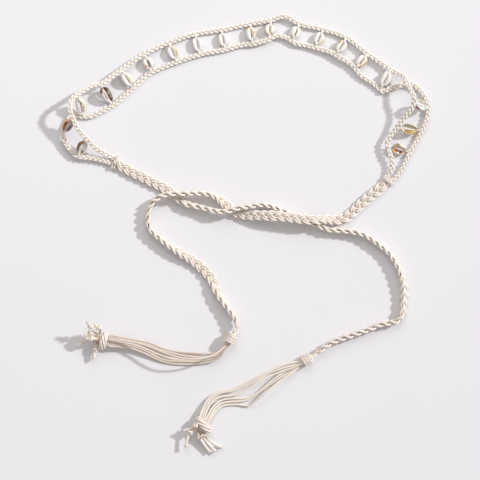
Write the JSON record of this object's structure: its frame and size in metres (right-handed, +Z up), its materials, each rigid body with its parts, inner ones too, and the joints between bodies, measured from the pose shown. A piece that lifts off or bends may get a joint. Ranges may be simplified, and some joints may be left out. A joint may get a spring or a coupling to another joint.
{
  "type": "rope belt",
  "caption": "Braided cotton cord belt with cowrie shells strung like ladder rungs, tied in a loose half knot with two free knotted tails.",
  "frame": {"origin": "middle of the belt's outline seen from above, on the surface that it lies on", "axes": "+Z up from that surface, +Y from the knotted front with its tails to the back of the waist ring, +X to the right seen from above"},
  "size_m": [0.3702, 0.4362, 0.0265],
  "materials": {
    "cotton_cord": "matt natural cotton, braided and slightly fuzzy",
    "cowrie_shell": "glossy cream shell, with a brown and grey cut back"
  },
  "bodies": {
    "root": {"braid_upper": "cotton_cord", "braid_lower": "cotton_cord", "belt_end_left": "cotton_cord", "belt_end_right": "cotton_cord", "rung_01": "cotton_cord", "rung_02": "cotton_cord", "rung_03": "cotton_cord", "rung_04": "cotton_cord", "rung_05": "cotton_cord", "rung_06": "cotton_cord", "rung_07": "cotton_cord", "rung_08": "cotton_cord", "rung_09": "cotton_cord", "rung_10": "cotton_cord", "rung_11": "cotton_cord", "rung_12": "cotton_cord", "rung_13": "cotton_cord", "rung_14": "cotton_cord", "rung_15": "cotton_cord", "rung_16": "cotton_cord", "rung_17": "cotton_cord", "rung_18": "cotton_cord", "rung_19": "cotton_cord", "wrap_left": "cotton_cord", "wrap_right": "cotton_cord", "fringe_left": "cotton_cord", "fringe_right": "cotton_cord", "end_knot_left": "cotton_cord", "end_knot_right": "cotton_cord", "cowrie_01": "cowrie_shell", "cowrie_02": "cowrie_shell", "cowrie_03": "cowrie_shell", "cowrie_04": "cowrie_shell", "cowrie_05": "cowrie_shell", "cowrie_06": "cowrie_shell", "cowrie_07": "cowrie_shell", "cowrie_08": "cowrie_shell", "cowrie_09": "cowrie_shell", "cowrie_10": "cowrie_shell", "cowrie_11": "cowrie_shell", "cowrie_12": "cowrie_shell", "cowrie_13": "cowrie_shell", "cowrie_14": "cowrie_shell", "cowrie_15": "cowrie_shell", "cowrie_16": "cowrie_shell", "cowrie_17": "cowrie_shell", "cowrie_18": "cowrie_shell", "cowrie_19": "cowrie_shell"}
  },
  "joints": []
}
